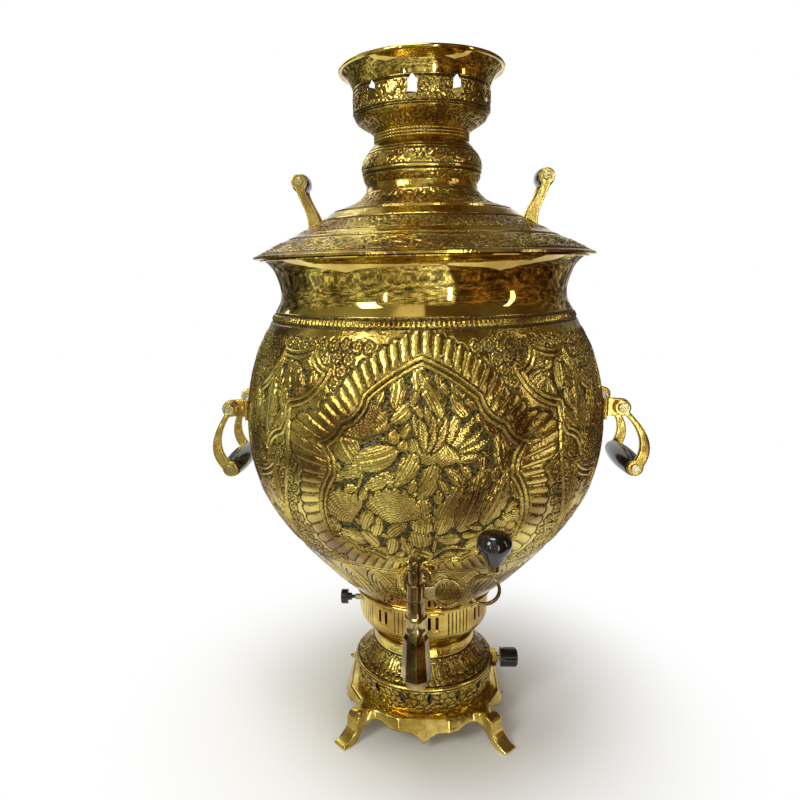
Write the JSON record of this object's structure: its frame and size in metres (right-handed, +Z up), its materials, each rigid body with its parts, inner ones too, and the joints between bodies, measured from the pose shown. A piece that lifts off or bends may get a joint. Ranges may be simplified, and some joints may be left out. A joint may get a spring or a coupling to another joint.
{
  "type": "gas samovar",
  "caption": "Brass samovar with chased ball tank, lift-off lid and teapot crown, lever tap, drop handles and gas foot.",
  "frame": {"origin": "on the floor under the middle of the foot", "axes": "+Z up; the tap is in front, at -Y; the drop handles are at -X and +X"},
  "size_m": [0.4382, 0.4085, 0.6722],
  "materials": {
    "polished_brass": "polished and lacquered",
    "chased_brass": "hammered and chased, dark in the ground",
    "cast_brass": "cast and polished",
    "antique_brass": "antiqued, nickel washed",
    "black_bakelite": "moulded, glossy",
    "steel": "plated",
    "tinned_copper": "tinned inside",
    "cast_iron": "as cast",
    "rubber": "moulded",
    "ceramic": "glazed"
  },
  "bodies": {
    "tank": {"plinth": "cast_brass", "waist_ring": "cast_brass", "gallery_ring": "cast_brass", "tap_rosette": "cast_brass", "tap_bush": "cast_brass", "foot_bell": "polished_brass", "vent_band": "polished_brass", "gallery_cup": "polished_brass", "collar": "polished_brass", "tank_shell": "chased_brass", "foot_screws": "steel", "burner_bridge": "steel", "igniter_barrel": "steel", "igniter_spring": "steel", "tank_bottom": "tinned_copper", "flue_tube": "tinned_copper", "burner_venturi": "cast_iron", "burner_head": "cast_iron", "gas_jet": "cast_brass", "gas_valve_body": "cast_brass", "gas_valve_nut": "cast_brass", "hose_spigot": "cast_brass", "gas_pipe": "cast_brass", "igniter_electrode": "ceramic", "tap_barrel": "antique_brass", "tap_spout": "antique_brass", "tap_seal": "rubber", "left_handle_bracket": "cast_brass", "left_handle_pivots": "steel", "right_handle_bracket": "cast_brass", "right_handle_pivots": "steel"},
    "lid": {"lid": "polished_brass", "lid_guide_ring": "polished_brass", "left_lid_handle_arms": "cast_brass", "left_lid_handle_grip": "black_bakelite", "left_lid_handle_rod": "steel", "right_lid_handle_arms": "cast_brass", "right_lid_handle_grip": "black_bakelite", "right_lid_handle_rod": "steel"},
    "crown": {"crown_neck": "polished_brass", "crown_beads": "cast_brass", "crown_bowl": "polished_brass", "crown_rim": "polished_brass", "teapot_grate": "steel"},
    "left_handle": {"left_handle_arms": "cast_brass", "left_handle_grip": "black_bakelite", "left_handle_rod": "steel"},
    "right_handle": {"right_handle_arms": "cast_brass", "right_handle_grip": "black_bakelite", "right_handle_rod": "steel"},
    "tap_handle": {"tap_plug": "antique_brass", "tap_plug_ring": "steel", "tap_plug_cap": "antique_brass", "tap_key": "antique_brass", "tap_knob_ferrule": "antique_brass", "tap_knob": "black_bakelite"},
    "gas_handle": {"gas_valve_stem": "steel", "gas_knob": "black_bakelite"},
    "igniter_push": {"igniter_button": "black_bakelite"}
  },
  "joints": [
    {"name": "lid_lift", "type": "slide", "parent": "tank", "child": "lid", "axis": [0, 0, 1], "range_m": [0, 0.15]},
    {"name": "crown_lift", "type": "slide", "parent": "lid", "child": "crown", "axis": [0, 0, 1], "range_m": [0, 0.12]},
    {"name": "left_handle_swing", "type": "hinge", "parent": "tank", "child": "left_handle", "pos_m": [-0.195, 0, 0.347], "axis": [0, 1, 0], "range_deg": [-5, 100]},
    {"name": "right_handle_swing", "type": "hinge", "parent": "tank", "child": "right_handle", "pos_m": [0.195, 0, 0.347], "axis": [0, -1, 0], "range_deg": [-16, 89]},
    {"name": "tap_key_turn", "type": "hinge", "parent": "tank", "child": "tap_handle", "pos_m": [-0.006, -0.213, 0.216], "axis": [0, 0, -1], "range_deg": [0, 90]},
    {"name": "gas_knob_turn", "type": "hinge", "parent": "tank", "child": "gas_handle", "pos_m": [0.09, 0, 0.053], "axis": [1, 0, 0], "range_deg": [0, 90]},
    {"name": "igniter_press", "type": "slide", "parent": "tank", "child": "igniter_push", "axis": [1, 0, 0], "range_m": [0, 0.004], "stiffness_N_per_m": 1200, "deforming": ["igniter_spring"]}
  ]
}
